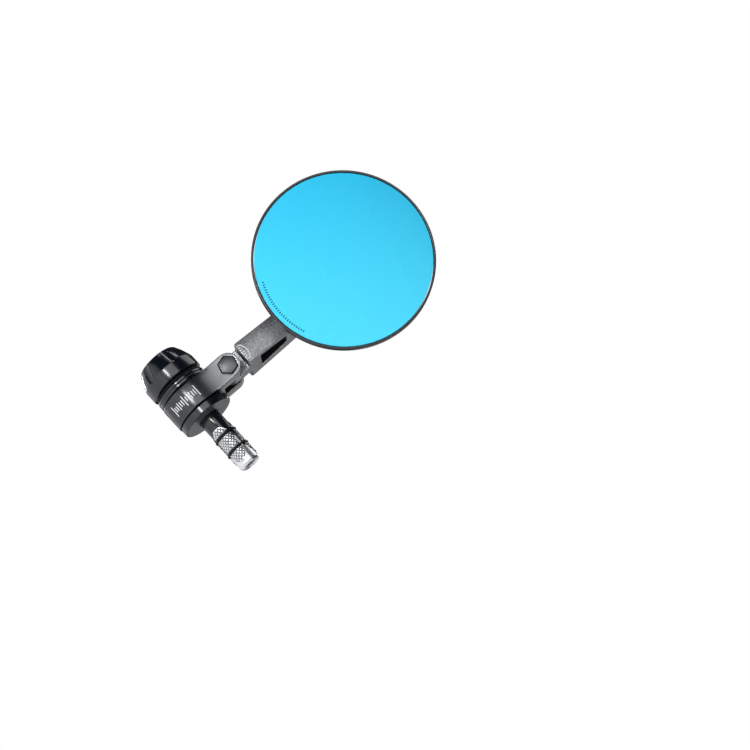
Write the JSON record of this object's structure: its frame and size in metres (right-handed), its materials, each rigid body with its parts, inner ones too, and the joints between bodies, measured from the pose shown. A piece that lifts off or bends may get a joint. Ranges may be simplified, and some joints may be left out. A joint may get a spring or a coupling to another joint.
{
  "type": "bar-end bicycle mirror",
  "caption": "Round convex mirror on a hinged, tapered arm with a swivelling clamp and an expander plug that fixes it in the end of a bicycle handlebar.",
  "frame": {"origin": "centre of the handlebar's end face, where the flange bears on it", "axes": "+X into the handlebar along its axis, +Z along the arm to the mirror, and the mirror's glass faces -Y"},
  "size_m": [0.0998, 0.0504, 0.1747],
  "materials": {
    "black_anodised": "polished black anodised aluminium",
    "dark_satin": "satin dark grey anodised aluminium",
    "arm_grey": "fine sandblasted dark grey anodised aluminium with brighter edges",
    "bolt_grey": "satin mid-grey",
    "bright_steel": "bright machined, knurled on the jaws",
    "dark_steel": "polished black chrome",
    "grooved_silver": "turned with fine concentric grooves",
    "ring_grey": "matte blasted mid-grey with bright chamfers",
    "dark_chrome": "turned dark chrome",
    "rubber": "matte black",
    "liner_black": "black low-friction plastic",
    "foam_black": "closed-cell foam",
    "blue_glass": "blue-tinted convex mirror glass"
  },
  "bodies": {
    "bar_end": {"flanged_core": "black_anodised", "wedge_sleeve": "black_anodised", "spacer_ring": "black_anodised", "knob_seal": "rubber", "end_knob": "black_anodised", "bolt_washer": "dark_steel"},
    "draw_bolt": {"draw_bolt": "dark_steel"},
    "wedge_nut": {"wedge_nut": "bright_steel"},
    "jaw_1": {"jaw_1": "bright_steel"},
    "jaw_2": {"jaw_2": "bright_steel"},
    "jaw_3": {"jaw_3": "bright_steel"},
    "o_rings": {"o_ring_inner": "rubber", "o_ring_outer": "rubber"},
    "clamp": {"clamp_ring": "dark_satin", "pivot_bolt": "bolt_grey", "pivot_cap": "dark_steel", "friction_washer_front": "bright_steel", "friction_washer_rear": "bright_steel"},
    "arm": {"arm": "arm_grey"},
    "stud": {"ball_stud": "dark_steel", "stud_washer": "bright_steel", "stud_cap": "dark_steel"},
    "socket_liner": {"ball_liner": "liner_black"},
    "head": {"mirror_rim": "black_anodised", "mirror_glass": "blue_glass", "glass_pad": "foam_black", "rear_shell": "grooved_silver", "scale_ring": "ring_grey", "hub_cone": "dark_chrome", "hub_cap": "ring_grey", "ball_seat": "bright_steel", "seat_spring": "bright_steel", "shell_lock_ring": "dark_steel", "retaining_plate": "dark_satin", "retaining_screw_1": "bright_steel", "retaining_screw_2": "bright_steel", "retaining_screw_3": "bright_steel"}
  },
  "joints": [
    {"name": "clamp_swing", "type": "hinge", "parent": "bar_end", "child": "clamp", "pos_m": [0, 0, 0], "axis": [1, 0, 0], "continuous": true},
    {"name": "arm_pivot", "type": "hinge", "parent": "clamp", "child": "arm", "pos_m": [-0.0119, 0, 0.0253], "axis": [0, 1, 0], "range_deg": [-85, 85]},
    {"name": "stud_spin", "type": "hinge", "parent": "arm", "child": "stud", "pos_m": [-0.0119, 0, 0.1086], "axis": [0, 1, 0], "continuous": true},
    {"name": "head_tilt_x", "type": "hinge", "parent": "stud", "child": "socket_liner", "pos_m": [-0.0119, -0.0158, 0.1086], "axis": [1, 0, 0], "range_deg": [-12, 12]},
    {"name": "head_tilt_z", "type": "hinge", "parent": "socket_liner", "child": "head", "pos_m": [-0.0119, -0.0158, 0.1086], "axis": [0, 0, 1], "range_deg": [-19.5, 6.5]},
    {"name": "draw_bolt_turn", "type": "hinge", "parent": "bar_end", "child": "draw_bolt", "pos_m": [0, 0, 0], "axis": [1, 0, 0], "range_deg": [0, 1620]},
    {"name": "wedge_slide", "type": "slide", "parent": "bar_end", "child": "wedge_nut", "axis": [-1, 0, 0], "range_m": [0, 0.00451]},
    {"name": "jaw_1_slide", "type": "slide", "parent": "bar_end", "child": "jaw_1", "axis": [-0.9205, -0.357, -0.1589], "range_m": [0, 0.00245]},
    {"name": "jaw_2_slide", "type": "slide", "parent": "bar_end", "child": "jaw_2", "axis": [-0.9205, 0.0408, 0.3886], "range_m": [0, 0.00245]},
    {"name": "jaw_3_slide", "type": "slide", "parent": "bar_end", "child": "jaw_3", "axis": [-0.9205, 0.3161, -0.2297], "range_m": [0, 0.00245]},
    {"name": "o_ring_slide", "type": "slide", "parent": "bar_end", "child": "o_rings", "axis": [-1, 0, 0], "range_m": [0, 0.00226], "deforming": ["o_ring_inner", "o_ring_outer"]}
  ],
  "couplings": [
    {"joint": "wedge_slide", "follows": "draw_bolt_turn", "m_per_rad": 0.00015915},
    {"joint": "jaw_1_slide", "follows": "draw_bolt_turn", "m_per_rad": 0.00008645},
    {"joint": "jaw_2_slide", "follows": "draw_bolt_turn", "m_per_rad": 0.00008645},
    {"joint": "jaw_3_slide", "follows": "draw_bolt_turn", "m_per_rad": 0.00008645},
    {"joint": "o_ring_slide", "follows": "draw_bolt_turn", "m_per_rad": 0.000079577}
  ]
}
